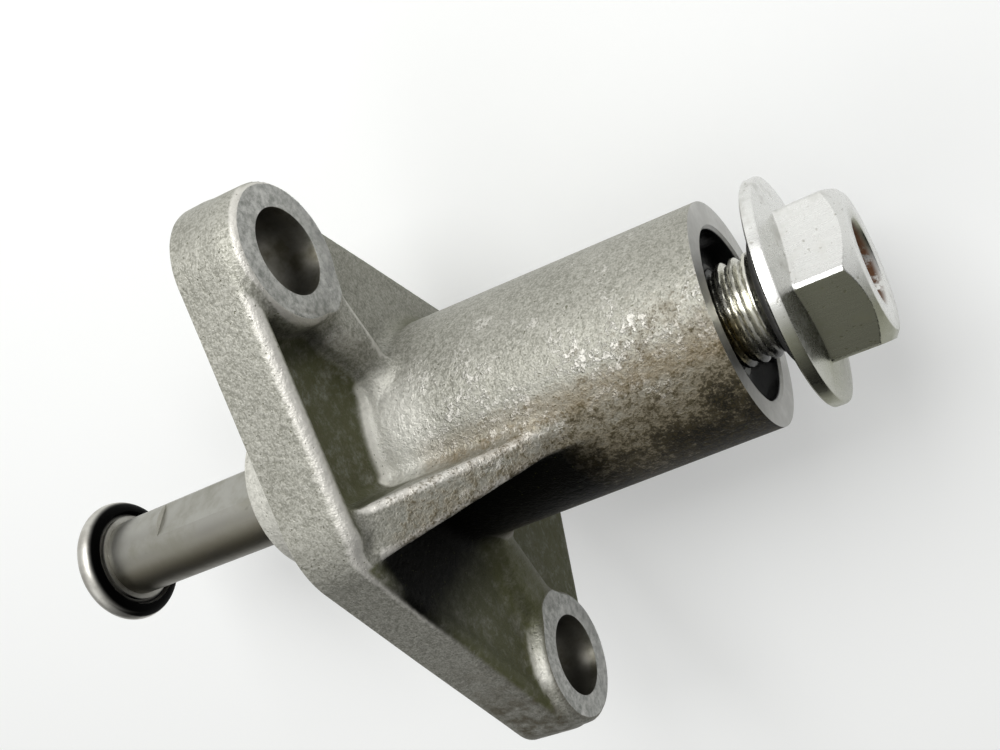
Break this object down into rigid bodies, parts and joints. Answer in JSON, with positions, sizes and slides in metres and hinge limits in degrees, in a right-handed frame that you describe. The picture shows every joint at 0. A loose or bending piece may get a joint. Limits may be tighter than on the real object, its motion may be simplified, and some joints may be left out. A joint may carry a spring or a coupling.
{
  "type": "timing chain tensioner",
  "caption": "Screw-type timing chain tensioner: cast housing with a two-hole flange and gusset, sliding plunger with a mushroom head, and a sealing bolt partly unscrewed.",
  "frame": {"origin": "on the barrel axis, at the flange's mounting face", "axes": "+X along the barrel toward the sealing bolt, so the plunger points to -X; +Y along the line of the two mounting holes; +Z from the barrel axis toward the hole line and the gusset corner"},
  "size_m": [0.0945, 0.0668, 0.044],
  "materials": {
    "cast_aluminium": "as cast, fine grain, stained",
    "machined_plug": "turned",
    "ground_steel": "satin ground, scratched",
    "polished_head": "polished rim, oily dark back",
    "hardened_steel": "dark, oiled",
    "spring_steel": "dark, oiled",
    "zinc_steel": "bright zinc plate, light rust in the recess",
    "nitrile": "satin"
  },
  "bodies": {
    "housing": {"housing": "cast_aluminium", "guide_plate": "hardened_steel", "thrust_washer": "hardened_steel", "end_plug": "machined_plug", "torsion_spring": "spring_steel"},
    "shaft": {"screw_shaft": "hardened_steel"},
    "plunger": {"plunger_rod": "ground_steel", "plunger_head": "polished_head"},
    "seal": {"bolt_o_ring": "nitrile"},
    "bolt": {"sealing_bolt": "zinc_steel"}
  },
  "joints": [
    {"name": "shaft_turn", "type": "hinge", "parent": "housing", "child": "shaft", "pos_m": [0, 0, 0], "axis": [1, 0, 0], "range_deg": [-2225, 0], "stiffness_Nm_per_rad": 0.0005, "springref_deg": 916.73},
    {"name": "plunger_slide", "type": "slide", "parent": "housing", "child": "plunger", "axis": [-1, 0, 0], "range_m": [-0.0185, 0]},
    {"name": "bolt_travel", "type": "slide", "parent": "housing", "child": "seal", "axis": [1, 0, 0], "range_m": [-0.0046, 0.0012]},
    {"name": "bolt_turn", "type": "hinge", "parent": "seal", "child": "bolt", "pos_m": [0.04, 0, 0], "axis": [1, 0, 0], "range_deg": [-1320, 345]}
  ],
  "couplings": [
    {"joint": "shaft_turn", "follows": "plunger_slide", "rad_per_m": 2094.4},
    {"joint": "bolt_travel", "follows": "bolt_turn", "m_per_rad": 0.00019894}
  ]
}
